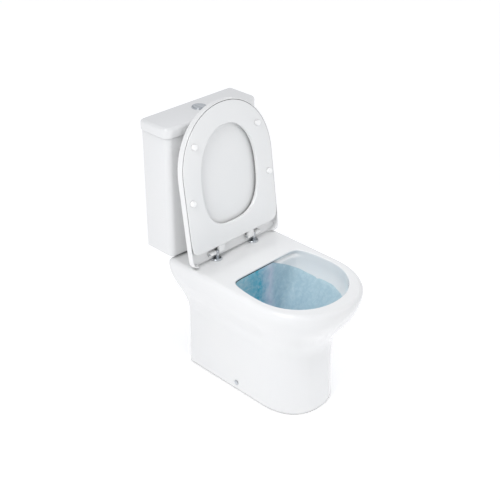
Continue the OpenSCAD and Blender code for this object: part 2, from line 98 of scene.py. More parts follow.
for lamp_name, place, target, size, spread, watts in [
    ("soft light left", (-2.6, -1.0, 1.7), (0, 0, 0.45), 1.8, 180, 8),
    ("soft light right", (1.6, -2.6, 1.6), (0, 0, 0.45), 1.6, 180, 2),
    ("soft light over the bowl", (-0.75, -0.2, 1.45), (0.08, -0.1, 0.42), 0.5, 44, 0.55),
]:
    lamp = bpy.data.objects.new(lamp_name, bpy.data.lights.new(lamp_name, "AREA"))
    lamp.data.shape = "SQUARE"
    lamp.data.size = size
    lamp.data.spread = math.radians(spread)
    lamp.data.energy = watts
    lamp.data.color = (1, 1, 1)
    toward = Vector(target) - Vector(place)
    lamp.matrix_world = Matrix.Translation(place) @ toward.to_track_quat("-Z", "Y").to_matrix().to_4x4()
    bpy.context.collection.objects.link(lamp)

floor_mesh = bpy.data.meshes.new("floor")
floor_half = 14
floor_mesh.from_pydata(
    [(-floor_half, -floor_half, 0), (floor_half, -floor_half, 0),
     (floor_half, floor_half, 0), (-floor_half, floor_half, 0)], [], [(0, 1, 2, 3)])
floor = bpy.data.objects.new("floor", floor_mesh)
bpy.context.collection.objects.link(floor)
floor_paint, tree = start_finish("matt white studio floor")
end_finish(tree, {"Base Color": colour("#FFFFFF"), "Roughness": 0.9,
                  "Emission Color": colour("#FFFFFF"), "Emission Strength": 0.25})
floor_mesh.materials.append(floor_paint)


# ---------------------------------------------------------------- pan
# Vitreous china, slip cast in one piece and fired with its glaze: the foot, the bulging bowl,
# the deck under the hinges and the ledge for the cistern. The foot is open at the back.
MM = 0.001
RING = 256
pan_top = 400
china_wall, deck_thickness, rim_radius = 10, 14, 14
duct_floor = pan_top - 38
hinge_x, hinge_y = 77.5, 122
bolt_x, inlet_y = 75, 268
hinge_row, coupling_row = (2 * hinge_x, hinge_y), (2 * bolt_x, inlet_y)
side_fixing_y, side_fixing_z = -1, 26


def even_out(x, y, count):
    """The line again in count steps, set closer where it turns."""
    dx, dy = np.diff(x), np.diff(y)
    heading = np.unwrap(np.arctan2(dy, dx))
    bend = np.concatenate([[0], np.abs(np.diff(heading)), [0]])
    run = np.concatenate([[0], np.cumsum(np.hypot(dx, dy) + 15 * (bend[:-1] + bend[1:]))])
    spots = np.linspace(0, run[-1], count + 1)
    return np.interp(spots, run, x), np.interp(spots, run, y)


def outline(half, y_mid, front, back, e_front, e_back, z, taper=0.0):
    """Egg or D shaped ring; e_front and e_back say how square each end is, 2 being an ellipse."""
    quarters = []
    angle = np.linspace(0, math.pi / 2, 361)
    for power, reach, narrow, steps in [
        (e_back, back, taper, RING * 7 // 32),
        (e_front, front, 0, RING * 9 // 32),
    ]:
        radius = ((np.cos(angle) / half) ** power + (np.sin(angle) / reach) ** power) ** (-1 / power)
        x, y = radius * np.cos(angle), radius * np.sin(angle)
        x[-1] = 0
        quarters.append(even_out(x * (1 - narrow * (y / reach) ** 2), y, steps))
    (bx, by), (fx, fy) = quarters
    x = np.concatenate([bx[:-1], -bx[:0:-1], -fx[:-1], fx[:0:-1]])
    y = np.concatenate([by[:-1], by[:0:-1], -fy[:-1], -fy[:0:-1]])
    return np.stack([x, y + y_mid, np.full(len(x), float(z))], axis=1)


def smooth(t):
    """A soft step from 0 to 1."""
    t = min(1.0, max(0.0, t))
    return t * t * (3 - 2 * t)


def pan_ring(z, inset=0.0):
    """Outside of the pan at height z, moved in by inset."""
    k, flare = smooth((z - 195) / 188), max(0.0, 1 - z / 195) ** 2
    mid = -108 - 22 * k
    return outline(114.5 + 2.5 * flare + 63.5 * k - inset, mid, 128 + 4 * flare + 67 * k - inset,
                   213 + 17 * k - mid - inset, 2.3 - 0.2 * k, 40, z)


def bowl_ring(depth, grow=0.0, z=None):
    """Inside of the bowl at a depth below the rim, moved out by grow."""
    k = 1 - smooth((depth - 30) / 205)
    q = math.sqrt(1 - (max(0, depth - 235) / 51.5) ** 2)
    return outline((48 + 102 * k) * q + grow, -125 + 53 * (1 - k), (46 + 107 * k) * q + grow,
                   (48 + 74 * k) * q + grow, 2.1, 2 + 9 * k,
                   pan_top - depth if z is None else z, 0.1 * k)


def solid(name, rings, ends=True, sharp=32):
    """A smooth closed piece skinned through rings given in millimetres."""
    count, rows = len(rings[0]), len(rings)
    points = np.concatenate(rings) * MM
    faces = []
    for j in range(rows if not ends else rows - 1):
        for i in range(count):
            k = (i + 1) % count
            up = (j + 1) % rows
            faces.append((j * count + i, j * count + k, up * count + k, up * count + i))
    if ends:
        faces.append(tuple(range(count - 1, -1, -1)))
        faces.append(tuple((rows - 1) * count + i for i in range(count)))
    mesh = bpy.data.meshes.new(name)
    mesh.from_pydata([tuple(p) for p in points], [], faces)
    piece = bpy.data.objects.new(name, mesh)
    bpy.context.collection.objects.link(piece)
    tidy_normals(piece, sharp)
    return piece


def tidy_normals(piece, sharp=32):
    """Merge doubles, turn faces outwards, and shade smooth except across sharp edges."""
    work = bmesh.new()
    work.from_mesh(piece.data)
    bmesh.ops.remove_doubles(work, verts=work.verts, dist=1e-6)
    bmesh.ops.recalc_face_normals(work, faces=work.faces)
    work.to_mesh(piece.data)
    work.free()
    piece.data.shade_smooth()
    piece.data.set_sharp_from_angle(angle=math.radians(sharp))


def carve(piece, tools, how, sharp=32):
    """Join the tools to the piece, or cut them out of it, and throw the tools away."""
    for tool in tools:
        change = piece.modifiers.new("carve", "BOOLEAN")
        change.operation, change.object, change.solver = how, tool, "EXACT"
        done = bpy.data.meshes.new_from_object(piece.evaluated_get(bpy.context.evaluated_depsgraph_get()))
        piece.modifiers.clear()
        piece.data = done
        bpy.data.objects.remove(tool)
    tidy_normals(piece, sharp)


def circle(radius, count):
    turn = np.arange(count) * 2 * math.pi / count
    return np.stack([radius * np.cos(turn), radius * np.sin(turn)], axis=1)


def tube_along(name, path, radius, count=48):
    """A round bar along a smooth path of (y, z) points on the middle plane."""
    rings = []
    for i, (y, z) in enumerate(path):
        before, after = path[max(0, i - 1)], path[min(len(path) - 1, i + 1)]
        lean = math.atan2(after[1] - before[1], after[0] - before[0])
        ring = circle(radius, count)
        rings.append(np.stack([ring[:, 0], y - ring[:, 1] * math.sin(lean),
                               z + ring[:, 1] * math.cos(lean)], axis=1))
    return solid(name, rings)


def bar(name, start, end, radius, count=64):
    """A round bar between two points in millimetres."""
    a, b = Vector(start), Vector(end)
    aim = (b - a).to_track_quat("Z", "Y").to_matrix()
    flat = [aim @ Vector((x, y, 0)) for x, y in circle(radius, count)]
    return solid(name, [np.array([a + p for p in flat]), np.array([b + p for p in flat])])


def bar_pair(name, start, end, radius, count=40):
    """A bar on the seated user's left and its mirror image on the right."""
    made = []
    for side, sign in (("left", 1), ("right", -1)):
        made.append(bar(name + " " + side, (sign * start[0], *start[1:]), (sign * end[0], *end[1:]),
                        radius, count))
    return made


def block(name, low, high, edge=0.0, steps=3):
    """A box between two corners in millimetres, its edges rounded by edge."""
    work = bmesh.new()
    bmesh.ops.create_cube(work, size=1)
    for v in work.verts:
        for axis in range(3):
            v.co[axis] = (low[axis] if v.co[axis] < 0 else high[axis]) * MM
    if edge:
        bmesh.ops.bevel(work, geom=work.edges[:], offset=edge * MM, segments=steps, profile=0.5,
                        affect="EDGES", clamp_overlap=True)
    mesh = bpy.data.meshes.new(name)
    work.to_mesh(mesh)
    work.free()
    piece = bpy.data.objects.new(name, mesh)
    bpy.context.collection.objects.link(piece)
    tidy_normals(piece)
    return piece


def box_ring(half, y_front, y_back, r_front, r_back, bow, z):
    """Box shaped ring with rounded corners and a front that bows out by bow."""
    x, y = [], []
    for a in np.radians(np.arange(180, 270, 6)):
        x.append(r_front - half + r_front * math.cos(a))
        y.append(y_front + bow + r_front + r_front * math.sin(a))
    for s in np.linspace(-1, 1, 25):
        x.append(s * (half - r_front))
        y.append(y_front + bow * s * s)
    for a in np.radians(np.arange(276, 361, 6)):
        x.append(half - r_front + r_front * math.cos(a))
        y.append(y_front + bow + r_front + r_front * math.sin(a))
    for a in np.radians(np.arange(0, 91, 9)):
        x.append(half - r_back + r_back * math.cos(a))
        y.append(y_back - r_back + r_back * math.sin(a))
    for a in np.radians(np.arange(90, 181, 9)):
        x.append(r_back - half + r_back * math.cos(a))
        y.append(y_back - r_back + r_back * math.sin(a))
    return np.stack([x, y, np.full(len(x), float(z))], axis=1)


def curve_through(points, steps=8):
    """A smooth line through the points (Catmull-Rom)."""
    line = []
    for i in range(len(points) - 1):
        p = [np.array(points[min(max(k, 0), len(points) - 1)], float) for k in (i - 1, i, i + 1, i + 2)]
        for t in np.arange(steps) / steps:
            line.append(0.5 * (2 * p[1] + (p[2] - p[0]) * t
                               + (2 * p[0] - 5 * p[1] + 4 * p[2] - p[3]) * t ** 2
                               + (3 * p[1] - p[0] - 3 * p[2] + p[3]) * t ** 3))
    return line + [np.array(points[-1], float)]


def undercut(ring, depth):
    """Recess under the back of the rim, from which the flush water comes."""
    push = 7 * math.sin(math.pi * smooth((depth - 3) / 24)) if 3 < depth < 27 else 0
    where = np.clip((ring[:, 1] + 50) / 40, 0, 1)
    out = ring.copy()
    out[:, 1] += push * where * where * (3 - 2 * where)
    return out


shell_rings = [bowl_ring(d, china_wall, pan_top - d - 8) for d in (282, 276, 268, 255)]
shell_rings += [bowl_ring(d, china_wall, pan_top - d - 8) for d in range(235, 30, -15)]
shell_rings += [bowl_ring(deck_thickness + 6, china_wall, pan_top - deck_thickness - 4)]
shell_rings += [bowl_ring(deck_thickness, china_wall + 2, pan_top - deck_thickness)]
shell_rings += [pan_ring(pan_top - deck_thickness, china_wall + 2)]
shell_rings += [pan_ring(pan_top - deck_thickness - 6, china_wall)]
shell_rings += [pan_ring(z, china_wall) for z in list(range(360, 195, -15)) + [195, 150, 100, 50, 3]]
shell_rings += [pan_ring(0, china_wall - 2.5), pan_ring(0, 2.5), pan_ring(0.8, 0.8), pan_ring(2.5, 0)]
shell_rings += [pan_ring(z) for z in (12, 30, 50, 75, 100, 125, 150, 175)]
shell_rings += [pan_ring(z) for z in range(190, 386, 7)]
for a in range(0, 91, 9):
    shell_rings.append(pan_ring(386 + rim_radius * math.sin(math.radians(a)),
                                rim_radius * (1 - math.cos(math.radians(a)))))
shell_rings.append(bowl_ring(0, 6))
for a in range(0, 91, 15):
    shell_rings.append(bowl_ring(3 * (1 - math.cos(math.radians(a))), 3 * (1 - math.sin(math.radians(a)))))
shell_rings += [undercut(bowl_ring(d), d) for d in (5, 7, 9, 11, 13, 15, 17, 19, 21, 24, 27)]
shell_rings += [bowl_ring(d) for d in list(range(33, 235, 7)) + [235, 245, 255, 264, 272, 278, 282]]
pan = solid("pan_china", shell_rings)

ledge_edge = 4
ledge_rings = [box_ring(110 - i, 205 + i, 305 - i, 6, 20 - i, 0, z) for i, z in
               [(2, 382), (0, 384), (0, 400 - ledge_edge)]]
for a in range(18, 91, 18):
    i = ledge_edge * (1 - math.cos(math.radians(a)))
    ledge_rings.append(box_ring(110 - i, 205 + i, 305 - i, 6, 20 - i, 0,
                                400 - ledge_edge + ledge_edge * math.sin(math.radians(a))))
trap_line = curve_through([(-60, 146), (30, 146), (85, 250), (165, 185), (206, 185)])
opening = block("opening", (-92, 183, -5), (92, 250, 330), 12, 5)
carve(pan, [opening], "DIFFERENCE")
carve(pan, [
    solid("ledge", ledge_rings),
    block("duct", (-50, 2, duct_floor - china_wall), (50, inlet_y, 386), 6),
    bar("boss", (0, inlet_y, duct_floor - china_wall), (0, inlet_y, 398), 54, 96),
    tube_along("trap outside", [p for p in trap_line if p[0] > -30], 45),
], "UNION")
carve(pan, [
    tube_along("trap water way", trap_line, 35),
    block("trap end", (-60, 205, 125), (60, 265, 245)),
    block("duct water way", (-40, 8, duct_floor), (40, 290, 384), 4),
    bar("inlet water way", (0, inlet_y, duct_floor), (0, inlet_y, 402), 32, 72),
    bar("inlet recess", (0, inlet_y, 376), (0, inlet_y, 402), 46, 96),
    *bar_pair("bolt hole", (bolt_x, inlet_y, 360), (bolt_x, inlet_y, 402), 7),
    *bar_pair("hinge hole", (hinge_x, hinge_y, 370), (hinge_x, hinge_y, 402), 7),
    *bar_pair("side hole", (100, side_fixing_y, side_fixing_z), (125, side_fixing_y, side_fixing_z), 5, 32),
], "DIFFERENCE")

def painted_gap_shade(tree, paint, reach):
    """The paint with painted shade: darker where other surfaces come within reach, as in a narrow gap."""
    near = add(tree, "ShaderNodeAmbientOcclusion", {"samples": 6}, {"Distance": reach})
    shade = add(tree, "ShaderNodeMapRange", None,
                {"Value": near.outputs["AO"], "From Min": 0.25, "From Max": 0.75, "To Min": 0.3})
    dark = add(tree, "ShaderNodeMix", {"data_type": "RGBA"},
               {"Factor": shade.outputs[0], 6: colour("#2B2C2E"), 7: paint})
    return dark.outputs[2]


# Glazed vitreous china. A hard clear glaze over a white body: mirror-sharp reflections on a
# soft white, a very slow waviness from the firing, painted shade that darkens the narrow gaps
# between the castings, and a bare matt ring where the foot stands.
china_finish, tree = start_finish("glazed vitreous china")
place = add(tree, "ShaderNodeTexCoord").outputs["Object"]
wave = add(tree, "ShaderNodeTexNoise", None, {"Vector": place, "Scale": 1 / 0.045, "Detail": 1.0})
grain = add(tree, "ShaderNodeTexNoise", None, {"Vector": place, "Scale": 1 / 0.002, "Detail": 2.0})
depth_map = add(tree, "ShaderNodeMath", {"operation": "MULTIPLY_ADD"},
                {0: grain.outputs["Fac"], 1: 0.004, 2: wave.outputs["Fac"]})
relief = add(tree, "ShaderNodeBump", None, {"Strength": 0.5, "Distance": 0.0006,
                                            "Height": depth_map.outputs[0]})
tint = add(tree, "ShaderNodeTexNoise", None, {"Vector": place, "Scale": 1 / 0.16, "Detail": 3.0})
body_white = add(tree, "ShaderNodeMix", {"data_type": "RGBA"},
                 {"Factor": tint.outputs["Fac"], 6: colour("#EBEBEA"), 7: colour("#E7E8E9")})
height = add(tree, "ShaderNodeSeparateXYZ", None, {0: place})
bare = add(tree, "ShaderNodeMath", {"operation": "LESS_THAN"}, {0: height.outputs["Z"], 1: 0.0012})
glazed = add(tree, "ShaderNodeMix", {"data_type": "RGBA"},
             {"Factor": bare.outputs[0], 6: body_white.outputs[2], 7: colour("#D2C9BB")})
gloss = add(tree, "ShaderNodeMath", {"operation": "MULTIPLY_ADD"}, {0: bare.outputs[0], 1: 0.6, 2: 0.12})
end_finish(tree, {"Base Color": painted_gap_shade(tree, glazed.outputs[2], 0.012),
                  "Roughness": gloss.outputs[0], "IOR": 1.5,
                  "Coat Weight": 0.6, "Coat Roughness": 0.03, "Coat IOR": 1.5,
                  "Normal": relief.outputs[0], "Coat Normal": relief.outputs[0]})


def place_piece(piece, material, body, slot, *nodes):
    """Give a finished piece its material and its body, and hide the parts it stands for; slot is not used.
    """
    piece.data.materials.clear()
    piece.data.materials.append(material)
    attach(piece, body)
    if nodes:
        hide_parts(*nodes)


place_piece(pan, china_finish, "toilet", "china", "pan", "pan_bowl")


# ---------------------------------------------------------------- outlet horn
# The end of the trap, cast with the pan: a plain round horn that the pan connector pushes
# over. Glazed like the rest, with a rounded lip.
def soften(profile, radius, steps=4):
    """A closed profile of (radius, height) points with each corner rounded."""
    out = []
    for i, corner in enumerate(profile):
        here = np.array(corner[:2], float)
        before = np.array(profile[i - 1][:2], float)
        after = np.array(profile[(i + 1) % len(profile)][:2], float)
        r = corner[2] if len(corner) > 2 else radius
        to_before, to_after = before - here, after - here
        r = min(r, 0.45 * np.linalg.norm(to_before), 0.45 * np.linalg.norm(to_after))
        if r < 1e-6:
            out.append(tuple(here))
            continue
        a = here + to_before / np.linalg.norm(to_before) * r
        b = here + to_after / np.linalg.norm(to_after) * r
        for t in np.linspace(0, 1, steps + 1):
            out.append(tuple((1 - t) ** 2 * a + 2 * t * (1 - t) * here + t * t * b))
    return out


def turned(name, profile, centre, axis=(0, 0, 1), count=96, sharp=32):
    """A ring or disc turned from a closed (radius, height) profile about an axis, in millimetres."""
    aim = Vector(axis).to_track_quat("Z", "Y").to_matrix()
    columns = []
    for x, y in circle(1.0, count):
        columns.append(np.array([aim @ Vector((x * r, y * r, h)) + Vector(centre) for r, h in profile]))
    return solid(name, columns, ends=False, sharp=sharp)


horn = turned("outlet_horn", soften([(43, 0), (51, 0), (51, 60, 4), (43, 60, 3)], 0.5, 5),
              (0, 205, 185), (0, 1, 0), 128)
place_piece(horn, china_finish, "toilet", "china", "pan_outlet")


# ---------------------------------------------------------------- flush water
# Water with blue cleaner, washing the bowl from the slot under the back of the rim: a thin
# rippled sheet on the walls, running into a pool in the sump.
def wash_line(ring):
    """How far below the rim the sheet of water starts at each point of the bowl."""
    along_back = (ring[:, 0] - 35) / 106
    down_side = (-ring[:, 1] - 15) / 90
    drop = np.clip(np.maximum(along_back, down_side), 0, 1)
    turn = np.arctan2(ring[:, 1] + 100, ring[:, 0])
    return 9 + 59 * drop + drop * (0.8 * np.sin(9 * turn + 1) + 0.5 * np.sin(21 * turn))


def water_ring(share, thickness):
    """Ring of the sheet: share 0 is its top edge and 1 the pool."""
    start = wash_line(bowl_ring(60))
    out = np.zeros((RING, 3))
    depths = start + share * (pool_depth - start)
    spots = {}
    for i, d in enumerate(np.round(depths).astype(int)):
        if d not in spots:
            spots[d] = bowl_ring(float(d), -thickness)
        out[i] = spots[d][i]
        out[i][2] = pan_top - depths[i]
    turn = np.arctan2(out[:, 1] + 90, out[:, 0])
    if thickness > 0:
        ripple = (0.5 * np.sin(9 * turn + depths / 16) + 0.35 * np.sin(17 * turn - depths / 9)
                  + 0.25 * np.sin(31 * turn + depths / 6))
        out[:, 0] -= ripple * np.cos(turn)
        out[:, 1] -= ripple * np.sin(turn)
    return out


pool_depth = 175
shares = np.linspace(0, 1, 28)
water_rings = [bowl_ring(d, 0.4) for d in (280, 270, 255, 235, 215, 195)]
water_rings += [water_ring(s, -0.4) for s in shares[::-1]]
water_rings += [water_ring(s, 0.6 + 2.0 * min(1, s * 12)) for s in shares]
pool = water_ring(1, 2.6)
centre = pool.mean(axis=0)
for scale in (0.9, 0.75, 0.6, 0.45, 0.3, 0.15, 0.03):
    ring = centre + (pool - centre) * scale
    turn = np.arctan2(ring[:, 1] - centre[1], ring[:, 0] - centre[0])
    ring[:, 2] = pan_top - pool_depth - 2 + 1.2 * np.sin(6 * turn + 9 * scale) * scale
    water_rings.append(ring)
water = solid("flush_water", water_rings, sharp=60)

# Blue-dyed water in motion. A clear wet gloss over a teal core stream down the back wall,
# a pale aerated streak beside it and mottled sky blue elsewhere.
water_finish, tree = start_finish("blue flush water")
place = add(tree, "ShaderNodeTexCoord").outputs["Object"]
swirl = add(tree, "ShaderNodeTexNoise", None, {"Vector": place, "Scale": 1 / 0.05, "Detail": 3.0})
parts = add(tree, "ShaderNodeSeparateXYZ", None, {0: place})
stream = add(tree, "ShaderNodeMath", {"operation": "MULTIPLY_ADD"},
             {0: swirl.outputs["Fac"], 1: 0.06, 2: parts.outputs["X"]})
stream = add(tree, "ShaderNodeMapRange", None,
             {"Value": stream.outputs[0], "From Min": -0.12, "From Max": 0.18})
streaks = add(tree, "ShaderNodeValToRGB", None, {"Fac": stream.outputs[0]})
ramp = streaks.color_ramp
while len(ramp.elements) < 6:
    ramp.elements.new(0.5)
for stop, (spot, code) in zip(ramp.elements, [
        (0.0, "#9DC4D0"), (0.30, "#80B8CA"), (0.42, "#4FA8C0"),
        (0.54, "#C4CBDB"), (0.64, "#A4BFCD"), (1.0, "#B0C9D3")]):
    stop.position, stop.color = spot, colour(code)
foam = add(tree, "ShaderNodeTexNoise", None, {"Vector": place, "Scale": 1 / 0.012, "Detail": 4.0,
                                              "Roughness": 0.65, "Distortion": 0.6})
mottle = add(tree, "ShaderNodeMapRange", None,
             {"Value": foam.outputs["Fac"], "From Min": 0.42, "From Max": 0.72, "To Max": 0.55})
blue = add(tree, "ShaderNodeMix", {"data_type": "RGBA"},
           {"Factor": mottle.outputs[0], 6: streaks.outputs["Color"], 7: colour("#CBDCE2")})
chop = add(tree, "ShaderNodeTexNoise", None, {"Vector": place, "Scale": 1 / 0.018, "Detail": 3.0})
relief = add(tree, "ShaderNodeBump", None, {"Strength": 0.7, "Distance": 0.002,
                                            "Height": chop.outputs["Fac"]})
end_finish(tree, {"Base Color": blue.outputs[2], "Roughness": 0.06, "IOR": 1.333,
                  "Normal": relief.outputs[0]})
place_piece(water, water_finish, "toilet", "china")


# ---------------------------------------------------------------- floor fixings
# Moulded grey brackets screwed to the floor inside the foot, a plated screw through each side
# of the china into the bracket, and a snap-on chromed cap over its head.
def fettle(node, edge):
    """The part's own shape, cleaned, with its edges rounded by edge millimetres."""
    crease = math.radians(30)
    piece = bpy.data.objects.new(node + "_finished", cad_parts[node].data.copy())
    bpy.context.collection.objects.link(piece)
    work = bmesh.new()
    work.from_mesh(piece.data)
    bmesh.ops.remove_doubles(work, verts=work.verts, dist=1e-6)
    bmesh.ops.dissolve_limit(work, angle_limit=math.radians(0.5), verts=work.verts, edges=work.edges)
    work.to_mesh(piece.data)
    work.free()
    if edge:
        rounding = piece.modifiers.new("rounded edges", "BEVEL")
        rounding.width, rounding.segments = edge * MM, 2
        rounding.limit_method, rounding.angle_limit = "ANGLE", crease
        done = bpy.data.meshes.new_from_object(piece.evaluated_get(bpy.context.evaluated_depsgraph_get()))
        piece.modifiers.clear()
        piece.data = done
    piece.data.shade_smooth()
    piece.data.set_sharp_from_angle(angle=crease)
    return piece


def set_out(name, piece, material, rows, height=0.0):
    """Copies of a piece in rows of two, each row a spacing and a y in millimetres."""
    tree = bpy.data.node_groups.new("set out " + name, "GeometryNodeTree")
    tree.interface.new_socket("Geometry", in_out="OUTPUT", socket_type="NodeSocketGeometry")
    tree.interface.new_socket("Piece", in_out="INPUT", socket_type="NodeSocketGeometry")
    sizes = {}
    for number, (spacing, y) in enumerate(rows, 1):
        sizes["Spacing %d" % number] = spacing
        sizes["Depth %d" % number] = y
    sizes["Height"] = height
    sockets = {key: tree.interface.new_socket(key, in_out="INPUT", socket_type="NodeSocketFloat")
               for key in sizes}
    given = add(tree, "NodeGroupInput")
    lines = add(tree, "GeometryNodeJoinGeometry")
    for number in range(1, len(rows) + 1):
        half = add(tree, "ShaderNodeMath", {"operation": "MULTIPLY"},
                   {0: given.outputs["Spacing %d" % number], 1: -0.5})
        start = add(tree, "ShaderNodeCombineXYZ", None,
                    {"X": half.outputs[0], "Y": given.outputs["Depth %d" % number],
                     "Z": given.outputs["Height"]})
        stride = add(tree, "ShaderNodeCombineXYZ", None, {"X": given.outputs["Spacing %d" % number]})
        line = add(tree, "GeometryNodeMeshLine", None,
                   {"Count": 2, "Start Location": start.outputs[0], "Offset": stride.outputs[0]})
        tree.links.new(line.outputs["Mesh"], lines.inputs[0])
    copies = add(tree, "GeometryNodeInstanceOnPoints", None,
                 {"Points": lines.outputs[0], "Instance": given.outputs["Piece"]})
    whole = add(tree, "GeometryNodeRealizeInstances", None, {0: copies.outputs[0]})
    coated = add(tree, "GeometryNodeSetMaterial", None,
                 {"Geometry": whole.outputs[0], "Material": material})
    add(tree, "NodeGroupOutput", None, {0: coated.outputs[0]})
    spread = piece.modifiers.new("set out", "NODES")
    spread.node_group = tree
    for key, socket in sockets.items():
        spread[socket.identifier] = sizes[key] * MM
    done = bpy.data.meshes.new_from_object(piece.evaluated_get(bpy.context.evaluated_depsgraph_get()))
    bpy.data.objects.remove(piece)
    made = bpy.data.objects.new(name, done)
    bpy.context.collection.objects.link(made)
    made.data.set_sharp_from_angle(angle=math.radians(32))
    return made


# Grey ABS, injection moulded: a satin skin with a fine spark-eroded grain.
grey_finish, tree = start_finish("moulded grey ABS")
place = add(tree, "ShaderNodeTexCoord").outputs["Object"]
grain = add(tree, "ShaderNodeTexNoise", None, {"Vector": place, "Scale": 1 / 0.0012, "Detail": 2.0})
relief = add(tree, "ShaderNodeBump", None, {"Strength": 0.25, "Distance": 0.0001,
                                            "Height": grain.outputs["Fac"]})
flow = add(tree, "ShaderNodeTexNoise", None, {"Vector": place, "Scale": 1 / 0.03, "Detail": 2.0})
grey = add(tree, "ShaderNodeMix", {"data_type": "RGBA"},
           {"Factor": flow.outputs["Fac"], 6: colour("#A9AEB2"), 7: colour("#B6BABD")})
end_finish(tree, {"Base Color": grey.outputs[2], "Roughness": 0.42, "IOR": 1.54,
                  "Normal": relief.outputs[0]})

# Zinc plated steel: a cold grey metal, half matt, with faint turning marks.
steel_finish, tree = start_finish("zinc plated steel")
place = add(tree, "ShaderNodeTexCoord").outputs["Object"]
marks = add(tree, "ShaderNodeTexNoise", None, {"Vector": place, "Scale": 1 / 0.0015, "Detail": 3.0})
worn = add(tree, "ShaderNodeMapRange", None,
           {"Value": marks.outputs["Fac"], "To Min": 0.22, "To Max": 0.42})
relief = add(tree, "ShaderNodeBump", None, {"Strength": 0.2, "Distance": 0.0001,
                                            "Height": marks.outputs["Fac"]})
end_finish(tree, {"Base Color": colour("#B9BFC3"), "Metallic": 1.0, "Roughness": worn.outputs[0],
                  "Normal": relief.outputs[0]})

# Chrome plate on ABS: a near mirror with a trace of orange peel from the moulding below.
chrome_finish, tree = start_finish("polished chrome plate")
place = add(tree, "ShaderNodeTexCoord").outputs["Object"]
peel = add(tree, "ShaderNodeTexNoise", None, {"Vector": place, "Scale": 1 / 0.004, "Detail": 2.0})
relief = add(tree, "ShaderNodeBump", None, {"Strength": 0.15, "Distance": 0.0001,
                                            "Height": peel.outputs["Fac"]})
wipe = add(tree, "ShaderNodeMapRange", None,
           {"Value": peel.outputs["Fac"], "To Min": 0.04, "To Max": 0.1})
end_finish(tree, {"Base Color": colour("#C4C8CC"), "Metallic": 1.0, "Roughness": wipe.outputs[0],
                  "Normal": relief.outputs[0]})

place_piece(fettle("floor_brackets", 0.8), grey_finish, "toilet", "grey_plastic", "floor_brackets")
place_piece(fettle("side_screws", 0.3), steel_finish, "toilet", "steel", "side_screws")
cap_shape = soften([(0.01, 116.6, 0), (8, 116.6), (8, 118.3, 0.8), (6.6, 118.6, 0.5),
                    (5.6, 119.6, 1.2), (0.01, 119.6, 0)], 0.3)
for side, outward in (("right", (1, 0, 0)), ("left", (-1, 0, 0))):
    cap = turned("side_cap_" + side, cap_shape, (0, side_fixing_y, side_fixing_z), outward, 64)
    place_piece(cap, chrome_finish, "toilet", "chrome", "side_caps")


# ---------------------------------------------------------------- coupling to the pan
# Two plated bolts pull the cistern down on a thick rubber doughnut. A washer under each
# bolt head and under the ledge, and a moulded wing nut that is tightened by hand.
# EPDM rubber, moulded: near black and matt, with a faint grey bloom.
rubber_finish, tree = start_finish("moulded black EPDM rubber")
place = add(tree, "ShaderNodeTexCoord").outputs["Object"]
bloom = add(tree, "ShaderNodeTexNoise", None, {"Vector": place, "Scale": 1 / 0.01, "Detail": 4.0})
black = add(tree, "ShaderNodeMix", {"data_type": "RGBA"},
            {"Factor": bloom.outputs["Fac"], 6: colour("#232325"), 7: colour("#38383A")})
skin = add(tree, "ShaderNodeTexNoise", None, {"Vector": place, "Scale": 1 / 0.0008, "Detail": 2.0})
relief = add(tree, "ShaderNodeBump", None, {"Strength": 0.3, "Distance": 0.0001,
                                            "Height": skin.outputs["Fac"]})
end_finish(tree, {"Base Color": black.outputs[2], "Roughness": 0.72, "IOR": 1.52,
                  "Normal": relief.outputs[0]})

# White polypropylene, moulded: slightly waxy, with a soft sheen and cooler thin edges.
poly_finish, tree = start_finish("moulded white polypropylene")
place = add(tree, "ShaderNodeTexCoord").outputs["Object"]
flow = add(tree, "ShaderNodeTexNoise", None, {"Vector": place, "Scale": 1 / 0.02, "Detail": 2.0})
milk = add(tree, "ShaderNodeMix", {"data_type": "RGBA"},
           {"Factor": flow.outputs["Fac"], 6: colour("#EDEFF0"), 7: colour("#F5F5F3")})
grain = add(tree, "ShaderNodeTexNoise", None, {"Vector": place, "Scale": 1 / 0.0012, "Detail": 2.0})
relief = add(tree, "ShaderNodeBump", None, {"Strength": 0.2, "Distance": 0.0001,
                                            "Height": grain.outputs["Fac"]})
end_finish(tree, {"Base Color": milk.outputs[2], "Roughness": 0.38, "IOR": 1.49,
                  "Normal": relief.outputs[0]})

doughnut = turned("doughnut_gasket_ring", soften([(41.1, 376), (45.7, 376), (45.7, 404), (41.1, 404)], 1.8),
                  (0, inlet_y, 0))
place_piece(doughnut, rubber_finish, "toilet", "rubber", "doughnut_gasket")


def joined(name, pieces):
    """Several closed pieces as one object."""
    with bpy.context.temp_override(active_object=pieces[0], selected_editable_objects=pieces,
                                   selected_objects=pieces):
        bpy.ops.object.join()
    pieces[0].name = name
    return pieces[0]


def hexagon_head(name, across, low, high):
    """A chamfered hexagon head or nut blank in millimetres."""
    work = bmesh.new()
    bmesh.ops.create_cone(work, cap_ends=True, segments=6, radius1=across * MM, radius2=across * MM,
                          depth=(high - low) * MM)
    bmesh.ops.translate(work, verts=work.verts, vec=(0, 0, (low + high) / 2 * MM))
    bmesh.ops.bevel(work, geom=work.edges[:], offset=0.5 * MM, segments=3, profile=0.5, affect="EDGES")
    mesh = bpy.data.meshes.new(name)
    work.to_mesh(mesh)
    work.free()
    piece = bpy.data.objects.new(name, mesh)
    bpy.context.collection.objects.link(piece)
    tidy_normals(piece)
    return piece


def threaded(name, radius, low, high, pitch=1.25, count=40):
    """A round bar with a rolled thread, as stacked rings, in millimetres."""
    rings = [np.column_stack([circle(radius - 0.8, count), np.full(count, low)])]
    z = low + 0.8
    while z < high - 0.8:
        rings.append(np.column_stack([circle(radius - 0.45, count), np.full(count, z)]))
        rings.append(np.column_stack([circle(radius, count), np.full(count, z + pitch / 2)]))
        z += pitch
    rings.append(np.column_stack([circle(radius - 0.8, count), np.full(count, high)]))
    return solid(name, rings, sharp=70)


